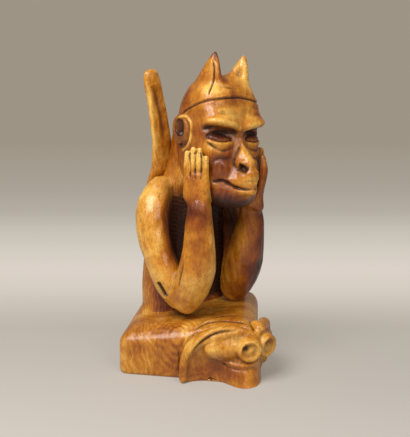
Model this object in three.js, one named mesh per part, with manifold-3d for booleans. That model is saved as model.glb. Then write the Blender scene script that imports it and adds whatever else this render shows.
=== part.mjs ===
// A carved wooden gargoyle: an ape-faced, horned and winged figure that leans on a corner ledge
// with its cheeks in its hands. Two curled buds and a folded leaf dress the ledge's front corner.
// Millimetres, +Z up. The figure looks along -Y, and its own right side is at -X.
import * as THREE from "three";
import { mergeVertices } from "three/addons/utils/BufferGeometryUtils.js";
import Module from "manifold-3d";

const wasm = await Module();
wasm.setup();

// Driving dimensions
const GLUE_GAP = 0.3; // film left between two pieces at every joint
const LEDGE_HEIGHT = 84;
const LEDGE_EDGE_ROUND = 24; // rounding of the ledge's top edge
const LEDGE_CORNER_ROUND = 16; // rounding of its upright corners
const LEDGE_SOLE_ROUND = 2;
const LEDGE_LEFT_REACH = 136; // how far each corner of the ledge lies from the figure's mid-plane
const LEDGE_RIGHT_REACH = 146;
const LEDGE_FRONT_REACH = 134;
const LEDGE_BACK_REACH = 142;
const LEDGE_SKEW = -16; // the front and back corners lie a little to the figure's right
const LEDGE_SIDE_SHIFT = 22; // the side corners lie this far behind the origin

const LEDGE_SLOPE = 0.29; // share of its height that the ledge's top loses at its right end

const HIP_HALF_WIDTH = 75;
const HIP_HALF_DEPTH = 38;
const CHEST_HALF_WIDTH = 70;
const SHOULDER_HEIGHT = 262;
const BACK_OFFSET = 50; // the trunk's axis behind the origin
const NECK_HALF_WIDTH = 38;

const SKULL_HALF_WIDTH = 54;
const CHIN_HEIGHT = 240;
const BRIM_HEIGHT = 399;
const FACE_FRONT = 76; // the eyes' plane in front of the origin
const BROW_PROUD = 8;
const MUZZLE_PROUD = 22;
const NOSE_PROUD = 22;
const MOUTH_DEPTH = 5;
const CAP_PROUD = 2.5; // the cap of hair stands off the forehead

const EAR_HALF_HEIGHT = 24;
const EAR_HALF_LENGTH = 18;
const EAR_HALF_THICKNESS = 8;

const HORN_TIP_HEIGHT = 458;
const HORN_SPREAD = 27;
const HORN_HALF_LENGTH = 42;
const HORN_HALF_THICKNESS = 19;

const ELBOW_SPREAD = 58;
const WRIST_RADIUS = 18;
const FOREARM_RADIUS = 25;
const UPPER_ARM_RADIUS = 24;
const HAND_SPREAD = 58;
const HAND_HALF_WIDTH = 21;
const HAND_HALF_THICKNESS = 8;
const FINGER_RADIUS = 5;

const WING_TIP_HEIGHT = 441;
const WING_ROOT_HEIGHT = 112;
const WING_HALF_CHORD = 21;
const WING_HALF_THICKNESS = 6.5;

const BUD_RADIUS = 18.5;
const BUD_LENGTH = 30;
const BUD_HEIGHT = 50;
const BUD_SPACING = 36;
const BUD_SPLAY = 16; // degrees that each bud's face turns out from straight ahead
const BUD_LEAN = 12; // degrees that both faces turn to the figure's right
const BUD_DROOP = 8; // degrees that each bud tips down

const LEAF_HEIGHT = 84;
const LEAF_RIM_RADIUS = 6.5;

const woods = {
  sapwood: new THREE.MeshStandardMaterial({ color: 0xd59a45, roughness: 0.4, metalness: 0 }),
  heartwood: new THREE.MeshStandardMaterial({ color: 0x93551f, roughness: 0.4, metalness: 0 }),
};

// Smooth interpolation

// Catmull-Rom value at the running index u in a list of numbers.
function spline(values, u) {
  const last = values.length - 1;
  const i = Math.min(Math.floor(u), last - 1);
  const t = u - i;
  const at = (k) => values[Math.min(Math.max(k, 0), last)];
  const [a, b, c, d] = [at(i - 1), at(i), at(i + 1), at(i + 2)];
  const cubic = 3 * b - 3 * c + d - a;
  return 0.5 * (2 * b + (c - a) * t + (2 * a - 5 * b + 4 * c - d) * t * t + cubic * t * t * t);
}

// Every column of a table of stations at the running index u.
function station(table, u) {
  return table[0].map((_, column) => spline(table.map((row) => row[column]), u));
}

// A smooth bell of height 1 and the given half-width.
function bell(distance, width) {
  return Math.exp(-((distance / width) ** 2));
}

// A smooth step from 0 to 1 between two values.
function ramp(from, to, x) {
  const t = Math.min(Math.max((x - from) / (to - from), 0), 1);
  return t * t * (3 - 2 * t);
}

// Solids

// A closed geometry becomes a solid; one that came out inside out is turned.
function solidOf(geometry) {
  const bare = geometry.index ? geometry.toNonIndexed() : geometry.clone();
  const shell = new THREE.BufferGeometry().setAttribute("position", bare.getAttribute("position"));
  const merged = mergeVertices(shell, 1e-4);
  const triVerts = new Uint32Array(merged.index.array);
  const vertProperties = merged.attributes.position.array;
  const made = new wasm.Manifold(new wasm.Mesh({ numProp: 3, vertProperties, triVerts }));
  if (made.volume() > 0) return made;
  for (let i = 0; i < triVerts.length; i += 3) {
    [triVerts[i + 1], triVerts[i + 2]] = [triVerts[i + 2], triVerts[i + 1]];
  }
  return new wasm.Manifold(new wasm.Mesh({ numProp: 3, vertProperties, triVerts }));
}

// Rings of points of one count, skinned and closed by a fan at each end.
function loft(rings) {
  const count = rings[0].length;
  const positions = [];
  const index = [];
  const middle = (ring) => ring.reduce((sum, p) => sum.add(p), new THREE.Vector3()).divideScalar(count);
  for (const ring of rings) for (const p of ring) positions.push(p.x, p.y, p.z);
  for (let r = 0; r + 1 < rings.length; r++) {
    for (let i = 0; i < count; i++) {
      const j = (i + 1) % count;
      const [a, b, c, d] = [r * count + i, r * count + j, (r + 1) * count + j, (r + 1) * count + i];
      index.push(a, b, c, a, c, d);
    }
  }
  const foot = positions.length / 3;
  positions.push(...middle(rings[0]).toArray(), ...middle(rings.at(-1)).toArray());
  const top = (rings.length - 1) * count;
  for (let i = 0; i < count; i++) {
    const j = (i + 1) % count;
    index.push(foot, j, i, foot + 1, top + i, top + j);
  }
  const geometry = new THREE.BufferGeometry();
  geometry.setAttribute("position", new THREE.Float32BufferAttribute(positions, 3));
  geometry.setIndex(index);
  return solidOf(geometry);
}

// The largest body of a solid, without the slivers that a cut can leave.
function mainBody(solid) {
  return solid.decompose().reduce((best, body) => (body.volume() > best.volume() ? body : best));
}

// A superellipse ring: exponent 2 is an ellipse, and more is squarer.
function ring(centre, across, along, halfAcross, halfAlong, exponent, sides) {
  return Array.from({ length: sides }, (_, i) => {
    const turn = (2 * Math.PI * i) / sides;
    const bend = (v) => Math.sign(v) * Math.abs(v) ** (2 / exponent);
    return centre
      .clone()
      .addScaledVector(across, halfAcross * bend(Math.cos(turn)))
      .addScaledVector(along, halfAlong * bend(Math.sin(turn)));
  });
}

// A limb: an ellipse swept along the line of its stations [x, y, z, half across, half deep],
// with rounded ends. across is the direction that the first half-width is measured in.
function limb(stations, { grow = 0, sides = 14, perSpan = 2, across = new THREE.Vector3(1, 0, 0) } = {}) {
  const spans = stations.length - 1;
  const steps = spans * perSpan;
  const point = (u) => new THREE.Vector3(...station(stations, u).slice(0, 3));
  const rings = [];
  const addRing = (u, inset, push) => {
    const [x, y, z, a, b] = station(stations, u);
    const ahead = point(Math.min(u + 0.05, spans));
    const tangent = ahead.sub(point(Math.max(u - 0.05, 0))).normalize();
    const side = across.clone().addScaledVector(tangent, -across.dot(tangent)).normalize();
    const deep = new THREE.Vector3().crossVectors(tangent, side);
    const centre = new THREE.Vector3(x, y, z).addScaledVector(tangent, push * (Math.min(a, b) + grow));
    rings.push(ring(centre, side, deep, (a + grow) * inset, (b + grow) * inset, 2, sides));
  };
  const dome = [0.88, 0.5]; // sines of the dome's ring angles, from its tip
  for (const s of dome) addRing(0, Math.sqrt(1 - s * s), -s);
  for (let k = 0; k <= steps; k++) addRing((k * spans) / steps, 1, 0);
  for (const s of dome.toReversed()) addRing(spans, Math.sqrt(1 - s * s), s);
  return loft(rings);
}

function ellipsoid(centre, halves, turn = [0, 0, 0], detail = 14) {
  const geometry = new THREE.SphereGeometry(1, detail, Math.round(detail * 0.6));
  const pose = new THREE.Matrix4().compose(
    new THREE.Vector3(...centre),
    new THREE.Quaternion().setFromEuler(new THREE.Euler(...turn.map(THREE.MathUtils.degToRad))),
    new THREE.Vector3(...halves),
  );
  return solidOf(geometry.applyMatrix4(pose));
}

// The same solid on the figure's other side.
function mirrored(solid) {
  return solid.mirror([1, 0, 0]);
}

// The ledge: a block set corner-wise under the figure

const LEDGE_CORNERS = [
  [-LEDGE_RIGHT_REACH, LEDGE_SIDE_SHIFT],
  [LEDGE_SKEW, -LEDGE_FRONT_REACH],
  [LEDGE_LEFT_REACH, LEDGE_SIDE_SHIFT],
  [LEDGE_SKEW, LEDGE_BACK_REACH],
].map(([x, y]) => new THREE.Vector2(x, y));

// The block's outline with its corners rounded, moved in by inset.
function ledgeOutline(inset, z, perCorner = 6) {
  const round = Math.max(LEDGE_CORNER_ROUND, inset + LEDGE_SOLE_ROUND);
  const points = [];
  LEDGE_CORNERS.forEach((corner, i) => {
    const before = LEDGE_CORNERS.at(i - 1);
    const after = LEDGE_CORNERS[(i + 1) % LEDGE_CORNERS.length];
    const into = corner.clone().sub(before).normalize();
    const out = after.clone().sub(corner).normalize();
    const half = Math.acos(into.dot(out)) / 2; // half the turn at this corner
    const inward = out.clone().sub(into).normalize();
    const centre = corner.clone().addScaledVector(inward, round / Math.cos(half));
    const start = Math.atan2(-into.x, into.y);
    for (let k = 0; k < perCorner; k++) {
      const angle = start + (2 * half * k) / (perCorner - 1);
      const reach = round - inset;
      points.push(new THREE.Vector3(
        centre.x + reach * Math.cos(angle),
        centre.y + reach * Math.sin(angle),
        z,
      ));
    }
  });
  return points;
}

function ledge(grow = 0) {
  const rings = [ledgeOutline(LEDGE_SOLE_ROUND - grow, -grow), ledgeOutline(-grow, LEDGE_SOLE_ROUND)];
  const arcs = 6;
  for (let k = 0; k <= arcs; k++) {
    const angle = (Math.PI / 2) * (k / arcs);
    const inset = LEDGE_EDGE_ROUND * (1 - Math.cos(angle));
    const z = LEDGE_HEIGHT - LEDGE_EDGE_ROUND * (1 - Math.sin(angle));
    const bare = ledgeOutline(inset, z);
    const level = ledgeOutline(inset - grow, z);
    level.forEach((p, i) => {
      p.z = z * (1 - LEDGE_SLOPE * ramp(-60, -LEDGE_RIGHT_REACH, bare[i].x)) + grow;
    });
    rings.push(level);
  }
  return loft(rings);
}

// The trunk: hips, chest, shoulders and a neck that reaches up into the head

function trunk(grow = 0) {
  const stations = [
    // height, centre y, half width, half depth, exponent
    [LEDGE_HEIGHT - 16, BACK_OFFSET, HIP_HALF_WIDTH, HIP_HALF_DEPTH, 2.6],
    [LEDGE_HEIGHT + 30, BACK_OFFSET + 2, HIP_HALF_WIDTH, HIP_HALF_DEPTH + 1, 2.6],
    [LEDGE_HEIGHT + 75, BACK_OFFSET, HIP_HALF_WIDTH - 3, HIP_HALF_DEPTH - 1, 2.6],
    [LEDGE_HEIGHT + 120, BACK_OFFSET - 3, CHEST_HALF_WIDTH, HIP_HALF_DEPTH - 4, 2.5],
    [SHOULDER_HEIGHT - 26, BACK_OFFSET - 7, CHEST_HALF_WIDTH - 2, HIP_HALF_DEPTH - 5, 2.4],
    [SHOULDER_HEIGHT, BACK_OFFSET - 14, CHEST_HALF_WIDTH - 10, HIP_HALF_DEPTH - 5, 2.3],
    [SHOULDER_HEIGHT + 18, BACK_OFFSET - 19, NECK_HALF_WIDTH + 13, NECK_HALF_WIDTH - 4, 2.2],
    [SHOULDER_HEIGHT + 52, BACK_OFFSET - 26, NECK_HALF_WIDTH + 4, NECK_HALF_WIDTH - 5, 2.1],
    [SHOULDER_HEIGHT + 93, BACK_OFFSET - 30, NECK_HALF_WIDTH, NECK_HALF_WIDTH - 8, 2.1],
    [SHOULDER_HEIGHT + 110, BACK_OFFSET - 42, NECK_HALF_WIDTH - 10, NECK_HALF_WIDTH - 18, 2],
  ];
  const rings = [];
  const spans = stations.length - 1;
  const steps = spans * 2;
  const [x, y] = [new THREE.Vector3(1, 0, 0), new THREE.Vector3(0, 1, 0)];
  for (let k = 0; k <= steps; k++) {
    const [height, back, width, depth, exponent] = station(stations, (k * spans) / steps);
    const end = (k === steps ? grow : 0) - (k === 0 ? grow : 0);
    const centre = new THREE.Vector3(0, back, height + end);
    rings.push(ring(centre, x, y, width + grow, depth + grow, exponent, 24));
  }
  return loft(rings);
}

// The head: level sections whose front carries the brow, eyes, nose, muzzle and mouth

function head(grow = 0) {
  const stations = [
    // height, half width, front, back, exponent
    [CHIN_HEIGHT, 22, FACE_FRONT - 4, -42, 2],
    [CHIN_HEIGHT + 5, 36, FACE_FRONT + 6, -22, 2.1],
    [CHIN_HEIGHT + 15, 44, FACE_FRONT + 12, 0, 2.3],
    [CHIN_HEIGHT + 30, 48, FACE_FRONT + 11, 16, 2.5],
    [CHIN_HEIGHT + 46, 50, FACE_FRONT + 8, 27, 2.8],
    [CHIN_HEIGHT + 66, SKULL_HALF_WIDTH - 1, FACE_FRONT + 4, 34, 3.3],
    [CHIN_HEIGHT + 86, SKULL_HALF_WIDTH, FACE_FRONT + 2, 37, 3.8],
    [CHIN_HEIGHT + 106, SKULL_HALF_WIDTH, FACE_FRONT + 1, 37, 4.2],
    [CHIN_HEIGHT + 124, SKULL_HALF_WIDTH, FACE_FRONT + 3, 34, 4.4],
    [CHIN_HEIGHT + 142, SKULL_HALF_WIDTH - 1, FACE_FRONT + 2, 29, 4],
    [BRIM_HEIGHT, SKULL_HALF_WIDTH - 4, FACE_FRONT - 2, 20, 3.4],
    [BRIM_HEIGHT + 16, SKULL_HALF_WIDTH - 12, FACE_FRONT - 10, 8, 2.8],
    [BRIM_HEIGHT + 31, SKULL_HALF_WIDTH - 29, FACE_FRONT - 23, -6, 2.2],
  ];
  const spans = stations.length - 1;
  const steps = 36;
  const rings = [];
  for (let k = 0; k <= steps; k++) {
    const [height, half, front, back, exponent] = station(stations, (k * spans) / steps);
    const end = (k === steps ? grow : 0) - (k === 0 ? grow : 0);
    const [centreY, halfY] = [(back - front) / 2, (back + front) / 2];
    rings.push(headSection(centreY, height + end, half + grow, halfY + grow, exponent));
  }
  return loft(rings);
}

// One level outline of the head: a squarish face in front and a rounder skull behind.
function headSection(centreY, z, half, halfY, exponent) {
  const [frontSteps, backSteps] = [30, 12];
  const points = [];
  for (let i = 0; i < frontSteps; i++) {
    const share = Math.sin(Math.PI * (i / frontSteps - 0.5));
    const y = centreY - halfY * (1 - Math.abs(share) ** exponent) ** (1 / exponent);
    const p = new THREE.Vector3(share * half, y, z);
    p.y -= faceRelief(p, centreY);
    points.push(p);
  }
  for (let i = 0; i < backSteps; i++) {
    const turn = (Math.PI * i) / backSteps;
    points.push(new THREE.Vector3(half * Math.cos(turn), centreY + halfY * Math.sin(turn), z));
  }
  return points;
}

// How far the face stands proud at a point of the head's front, in mm. Its features are placed
// for a skull of half width 54 and scale with the skull.
function faceRelief(p, centreY) {
  const unit = SKULL_HALF_WIDTH / 54;
  const facing = ramp(4, -26, (p.y - centreY) / unit);
  const x = Math.abs(p.x) / unit;
  const h = (p.z - CHIN_HEIGHT) / unit;
  const muzzle = MUZZLE_PROUD * (0.45 * bell(x, 26) + 0.55 * bell(x, 13)) * bell(h - 28, 24);
  const noseWidth = 6 + 9 * ramp(98, 60, h);
  const nose = NOSE_PROUD * ramp(1.25, 0.3, x / noseWidth) * ramp(42, 51, h) * ramp(110, 62, h);
  const browHeight = 123 - 12 * bell(x, 13); // the brows dip to the bridge of the nose
  const brow = BROW_PROUD * bell(h - browHeight, 8) * ramp(58, 44, x);
  const hollow = -10 * bell(x - 29, 14) * bell(h - 104, 9);
  const eyeball = 5 * bell(x - 29, 11) * bell(h - 101, 6);
  const cheek = 4 * bell(x - 34, 14) * bell(h - 80, 13);
  const mouth = -MOUTH_DEPTH * bell(h - 28 - 0.0076 * x * x, 3.6) * ramp(46, 36, x);
  const lowerLip = 3 * bell(h - 21 - 0.006 * x * x, 5) * bell(x, 26);
  const fold = -3 * bell(x - 15 - 0.9 * Math.max(58 - h, 0), 5.5) * ramp(34, 44, h) * ramp(72, 60, h);
  const capEdge = (BRIM_HEIGHT - CHIN_HEIGHT) / unit - 26 * ramp(-50, 0, p.y / unit); // dips to the ears
  const cap = CAP_PROUD * ramp(-2, 2, h - capEdge);
  const hollows = unit * (hollow + eyeball + cheek + lowerLip + fold);
  return facing * (muzzle + nose + brow + mouth + hollows + cap);
}

function ear() {
  const centre = [-SKULL_HALF_WIDTH - 1, -13, 351];
  const shell = ellipsoid(centre, [EAR_HALF_THICKNESS, EAR_HALF_LENGTH, EAR_HALF_HEIGHT], [-8, 0, 0], 12);
  const bowl = ellipsoid(
    [centre[0] - EAR_HALF_THICKNESS, centre[1] - 1, centre[2] + 5],
    [EAR_HALF_THICKNESS, EAR_HALF_LENGTH * 0.55, EAR_HALF_HEIGHT * 0.6],
    [-8, 0, 0],
    10,
  );
  return shell.subtract(bowl);
}

// Horns: fins that rise from the crown, hollowed on their inner faces

function horn() {
  const rise = HORN_TIP_HEIGHT - BRIM_HEIGHT;
  const stations = [
    // rise from the brim, centre y, half thickness, half length, spread
    [-16, -28, HORN_HALF_THICKNESS - 3, HORN_HALF_LENGTH - 4, HORN_SPREAD - 2],
    [-2, -27, HORN_HALF_THICKNESS, HORN_HALF_LENGTH, HORN_SPREAD - 1],
    [rise * 0.24, -35, HORN_HALF_THICKNESS - 3, HORN_HALF_LENGTH - 9, HORN_SPREAD - 2],
    [rise * 0.5, -43, HORN_HALF_THICKNESS - 7, HORN_HALF_LENGTH - 20, HORN_SPREAD - 1],
    [rise * 0.74, -50, HORN_HALF_THICKNESS - 10.5, HORN_HALF_LENGTH - 30, HORN_SPREAD],
    [rise * 0.92, -54.5, HORN_HALF_THICKNESS - 14, HORN_HALF_LENGTH - 38, HORN_SPREAD],
    [rise, -56, 1, 1.2, HORN_SPREAD],
  ];
  const spans = stations.length - 1;
  const steps = spans * 2;
  const [x, y] = [new THREE.Vector3(1, 0, 0), new THREE.Vector3(0, 1, 0)];
  const rings = [];
  for (let k = 0; k <= steps; k++) {
    const [height, along, thick, long, spread] = station(stations, (k * spans) / steps);
    const centre = new THREE.Vector3(-spread, along, BRIM_HEIGHT + height);
    rings.push(ring(centre, x, y, thick, long, 1.9, 14));
  }
  const hollow = ellipsoid([-HORN_SPREAD + 16, -58, BRIM_HEIGHT + 32], [11, 11, 30], [12, 0, 0], 10);
  return loft(rings).subtract(hollow);
}

// Arms: an upper arm that ends on its forearm at the elbow, and a forearm with its hand

// The carving's left arm stands further back than its right one.
const ARM_LINES = {
  right: { elbow: -25, belly: -52, calf: -56, wrist: -57, fullness: 1 },
  left: { elbow: -5, belly: -30, calf: -37, wrist: -43, fullness: 3.5 },
};

function upperArm(side, grow = 0) {
  const { elbow } = ARM_LINES[side];
  const stations = [
    [-56, 36, SHOULDER_HEIGHT, UPPER_ARM_RADIUS - 2, UPPER_ARM_RADIUS],
    [-72, 32, SHOULDER_HEIGHT - 20, UPPER_ARM_RADIUS + 1, UPPER_ARM_RADIUS + 3],
    [-80, 25, 207, UPPER_ARM_RADIUS + 1, UPPER_ARM_RADIUS + 3],
    [-77, 12, 168, UPPER_ARM_RADIUS - 1, UPPER_ARM_RADIUS],
    [-70, 10 + elbow / 2, 131, UPPER_ARM_RADIUS - 1, UPPER_ARM_RADIUS],
    [-ELBOW_SPREAD - 3, 11 + elbow, 108, UPPER_ARM_RADIUS - 4, UPPER_ARM_RADIUS - 4],
  ];
  return limb(stations, { grow, sides: 12 });
}

function forearm(side, grow = 0) {
  const { elbow, belly, calf, wrist, fullness } = ARM_LINES[side];
  const x = -ELBOW_SPREAD + 2;
  const stations = [
    [x, elbow, 104, FOREARM_RADIUS - 6 + fullness, FOREARM_RADIUS - 4 + fullness],
    [x, (elbow + belly) / 2, 126, FOREARM_RADIUS - 1 + fullness, FOREARM_RADIUS + 1 + fullness],
    [x, belly, 156, FOREARM_RADIUS + 1 + fullness, FOREARM_RADIUS + 1 + fullness],
    [x, calf, 188, FOREARM_RADIUS - 3 + fullness, FOREARM_RADIUS - 3 + fullness],
    [x - 1, wrist, 218, WRIST_RADIUS + 2, WRIST_RADIUS + 2],
    [-HAND_SPREAD + 1, wrist - 1, 244, WRIST_RADIUS - 1, WRIST_RADIUS - 1],
  ];
  return limb(stations, { grow });
}

// The hand lies flat on the cheek: a back, four straight fingers and a thumb under the jaw.
function hand(grow = 0) {
  const turn = THREE.MathUtils.degToRad(-60); // the hand's width runs forward and inward
  const across = new THREE.Vector3(Math.cos(turn), Math.sin(turn), 0);
  const centre = new THREE.Vector3(-HAND_SPREAD - 3, -57, 0);
  const place = (offset, z, out = 0) => {
    const p = centre.clone().addScaledVector(across, offset);
    return [p.x - out, p.y, z];
  };
  const back = limb(
    [
      [...place(1, 240, -3), HAND_HALF_WIDTH - 7, HAND_HALF_THICKNESS + 5],
      [...place(-1, 258), HAND_HALF_WIDTH - 1, HAND_HALF_THICKNESS + 2],
      [...place(0, 274), HAND_HALF_WIDTH - 1, HAND_HALF_THICKNESS],
      [...place(0, 287), HAND_HALF_WIDTH - 3, HAND_HALF_THICKNESS - 1],
    ],
    { grow, across, perSpan: 1 },
  );
  const fingers = [
    // offset along the hand's width, tip height
    [-14, 322],
    [-5, 327],
    [4.5, 326],
    [14, 315],
  ].map(([offset, tip]) =>
    limb(
      [
        [...place(offset * 0.95, 272, 1), FINGER_RADIUS, FINGER_RADIUS],
        [...place(offset, tip - 22, 1), FINGER_RADIUS, FINGER_RADIUS],
        [...place(offset, tip - 4, 0), FINGER_RADIUS - 1, FINGER_RADIUS - 1],
      ],
      { grow, across, sides: 6, perSpan: 1 },
    ),
  );
  const thumb = limb(
    [
      [...place(0, 240, -14), FINGER_RADIUS + 2, FINGER_RADIUS + 2],
      [...place(3, 254, -17), FINGER_RADIUS + 1, FINGER_RADIUS + 1],
      [...place(5, 268, -17), FINGER_RADIUS - 0.5, FINGER_RADIUS - 0.5],
    ],
    { grow, across, sides: 8, perSpan: 1 },
  );
  return [...fingers, thumb].reduce((sum, finger) => sum.add(finger), back);
}

// Wings: blades that lie folded on the back and sweep up and out past the shoulders

function wing(grow = 0) {
  const stations = [
    // x, y, z, half chord, half thickness
    [-26, 90, WING_ROOT_HEIGHT, WING_HALF_CHORD - 12, WING_HALF_THICKNESS - 2],
    [-33, 90, WING_ROOT_HEIGHT + 44, WING_HALF_CHORD - 3, WING_HALF_THICKNESS],
    [-38, 86, WING_ROOT_HEIGHT + 92, WING_HALF_CHORD + 1, WING_HALF_THICKNESS + 1],
    [-42, 78, WING_ROOT_HEIGHT + 136, WING_HALF_CHORD, WING_HALF_THICKNESS + 2],
    [-41, 57, WING_TIP_HEIGHT - 146, WING_HALF_CHORD - 3, WING_HALF_THICKNESS + 1.5],
    [-45, 49, WING_TIP_HEIGHT - 104, WING_HALF_CHORD - 4, WING_HALF_THICKNESS + 1],
    [-55, 45, WING_TIP_HEIGHT - 60, WING_HALF_CHORD - 5, WING_HALF_THICKNESS],
    [-65, 43, WING_TIP_HEIGHT - 24, WING_HALF_CHORD - 7, WING_HALF_THICKNESS - 1],
    [-69, 42, WING_TIP_HEIGHT - 6, WING_HALF_CHORD - 10, WING_HALF_THICKNESS - 2],
  ];
  return limb(stations, { grow, sides: 14, perSpan: 1 });
}

// The leaf on the ledge's front corner: a flaring apron under a raised, rolled edge

// Its points are measured from the ledge's sharp front corner, before that is rounded.
const LEAF_RIGHT_TIP = new THREE.Vector2(-77, 68);
const LEAF_LEFT_TIP = new THREE.Vector2(68, 56);
const LEAF_APEX = new THREE.Vector2(3, 7); // where the two rolled edges meet, between the buds
const LEAF_OUTLINES = [
  // the apron's plan at the floor, under the buds and at the rolled edge
  [[-77, 68], [-60, 63], [-44, 53], [-33, 36], [-31, 14], [-25, -1], [-12, -6], [3, -2], [18, 10],
    [32, 26], [49, 42], [68, 56]],
  [[-77, 67], [-63, 58], [-50, 46], [-38, 33], [-29, 22], [-20, 15], [-10, 11], [3, 11], [18, 17],
    [33, 29], [50, 44], [67, 57]],
  [[-76, 68], [-63, 55], [-50, 41], [-37, 27], [-25, 16], [-15, 9], [-5, 5], [4, 5], [16, 12],
    [32, 27], [50, 43], [67, 58]],
];
const LEAF_ROOTS = [[50, 74], [-58, 84]]; // two points of its plan that lie inside the ledge

// The apron: its plan changes smoothly with height.
function leafApron() {
  const levels = 4;
  const rings = [];
  for (let k = 0; k <= levels; k++) {
    const u = (2 * k) / levels;
    const control = LEAF_OUTLINES[0].map((_, i) => station(LEAF_OUTLINES.map((row) => row[i]), u));
    const ringPoints = LEAF_ROOTS.map(([x, y]) => new THREE.Vector3(x, y, 0));
    const halfSteps = 2 * (control.length - 1);
    for (let j = 0; j <= halfSteps; j++) {
      ringPoints.push(new THREE.Vector3(...station(control, j / 2), 0));
    }
    for (const p of ringPoints) p.z = (k / levels) * LEAF_HEIGHT;
    rings.push(ringPoints);
  }
  return loft(rings);
}

// The arch of the leaf's edge over one face of the ledge: share of its length, share of its height.
const LEAF_ARCH = [
  [0, 0],
  [0.01, 0.38],
  [0.1, 0.68],
  [0.3, 0.88],
  [0.57, 0.95],
  [0.84, 0.93],
  [1, 0.81],
];

// A prism under the arch between one tip and the apex.
function archPrism(tip) {
  const run = LEAF_APEX.clone().sub(tip);
  const length = run.length();
  const shape = new THREE.Shape();
  const arch = LEAF_ARCH.map(([along, up]) => new THREE.Vector2(along * length, up * LEAF_HEIGHT));
  shape.moveTo(0, -1);
  shape.lineTo(arch[0].x, arch[0].y);
  shape.splineThru(arch.slice(1));
  shape.lineTo(length + 60, arch.at(-1).y);
  shape.lineTo(length + 60, -1);
  shape.closePath();
  const depth = 260;
  const geometry = new THREE.ExtrudeGeometry(shape, { depth, bevelEnabled: false, curveSegments: 2 });
  const along = new THREE.Vector3(run.x, run.y, 0).normalize();
  const up = new THREE.Vector3(0, 0, 1);
  const out = new THREE.Vector3().crossVectors(along, up);
  const pose = new THREE.Matrix4().makeBasis(along, up, out);
  pose.setPosition(new THREE.Vector3(tip.x, tip.y, 0).addScaledVector(out, -depth / 2));
  return solidOf(geometry.applyMatrix4(pose));
}

// The rolled edge along one arch, fullest at the shoulder of the curve.
function leafRim(tip) {
  const run = LEAF_APEX.clone().sub(tip);
  const radii = [0.8, 0.9, 1.15, 1.35, 1.2, 0.95, 0.75];
  const bow = Math.sign(tip.x) * -5; // the edge bows out from the straight line between its ends
  const normal = new THREE.Vector2(run.y, -run.x).normalize();
  const stations = LEAF_ARCH.map(([along, up], i) => {
    const p = tip.clone().addScaledVector(run, along);
    p.addScaledVector(normal, bow * Math.sin(Math.PI * along));
    const radius = LEAF_RIM_RADIUS * radii[i];
    return [p.x, p.y, Math.max(up * LEAF_HEIGHT - radius * 0.7, radius), radius, radius];
  });
  const across = new THREE.Vector3(normal.x, normal.y, 0);
  return limb(stations, { sides: 8, perSpan: 2, across });
}

function cornerLeaf() {
  const tongue = ellipsoid([15, 15, LEAF_HEIGHT - 8], [10, 13, 8], [12, 0, 0], 10);
  const leaf = leafApron()
    .intersect(archPrism(LEAF_RIGHT_TIP))
    .intersect(archPrism(LEAF_LEFT_TIP))
    .add(leafRim(LEAF_RIGHT_TIP))
    .add(leafRim(LEAF_LEFT_TIP))
    .add(tongue);
  return atFrontCorner(leaf);
}

function atFrontCorner(solid) {
  return solid.translate([LEDGE_SKEW, -LEDGE_FRONT_REACH, 0]);
}

// A bud: a curled leaf end that comes out from under the rolled edge and bends forward, with a
// dished face round a small boss

function bud(side, grow = 0) {
  const barrel = [
    [0, -grow],
    [BUD_RADIUS * 0.6, -grow],
    [BUD_RADIUS * 0.9, BUD_LENGTH * 0.15],
    [BUD_RADIUS, BUD_LENGTH * 0.45],
    [BUD_RADIUS * 0.94, BUD_LENGTH * 0.8],
    [BUD_RADIUS * 0.86, BUD_LENGTH * 0.97],
    [BUD_RADIUS * 0.78, BUD_LENGTH + grow],
  ].map(([r, z]) => [r > 0 ? r + grow : 0, z]);
  const dish = [
    [BUD_RADIUS * 0.64, BUD_LENGTH * 0.99],
    [BUD_RADIUS * 0.54, BUD_LENGTH * 0.9],
    [BUD_RADIUS * 0.3, BUD_LENGTH * 0.86],
    [BUD_RADIUS * 0.16, BUD_LENGTH * 0.92],
    [0, BUD_LENGTH * 0.93],
  ];
  const profile = [...barrel, ...(grow > 0 ? [[0, BUD_LENGTH + grow]] : dish)];
  const geometry = new THREE.LatheGeometry(profile.map(([r, z]) => new THREE.Vector2(r, z)), 18);
  const turn = THREE.MathUtils.degToRad(BUD_SPLAY * side - BUD_LEAN);
  const droop = THREE.MathUtils.degToRad(BUD_DROOP);
  const axis = new THREE.Vector3(Math.sin(turn), -Math.cos(turn), -Math.tan(droop)).normalize();
  const face = new THREE.Vector3(LEAF_APEX.x + (side * BUD_SPACING) / 2, -3, BUD_HEIGHT);
  const stem = limb(
    [
      [face.x + side * 29, 39, BUD_HEIGHT, BUD_RADIUS - 5, BUD_RADIUS - 5],
      [face.x + side * 16, 31, BUD_HEIGHT + 1, BUD_RADIUS - 2, BUD_RADIUS - 2],
      [face.x + side * 2, 24, BUD_HEIGHT + 1, BUD_RADIUS - 3, BUD_RADIUS - 3],
    ],
    { grow, sides: 12, perSpan: 2, across: new THREE.Vector3(0, 0, 1) },
  );
  const pose = new THREE.Matrix4().makeRotationFromQuaternion(
    new THREE.Quaternion().setFromUnitVectors(new THREE.Vector3(0, 1, 0), axis),
  );
  pose.setPosition(face.addScaledVector(axis, -BUD_LENGTH));
  return atFrontCorner(solidOf(geometry.applyMatrix4(pose)).add(stem));
}

// Joints: each piece is cut back from the ones that it seats on by the glue film

const ledgeSeat = ledge(GLUE_GAP);
const trunkSeat = trunk(GLUE_GAP);
const headSeat = head(GLUE_GAP);

// A piece drawn for the right side, put on its own side and cut back from its seats.
function seated(side, solid, seats) {
  const placed = side === "left" ? mirrored(solid) : solid;
  return mainBody(seats.reduce((rest, seat) => rest.subtract(seat), placed));
}

// The assembly

const figure = new THREE.Group();

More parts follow.
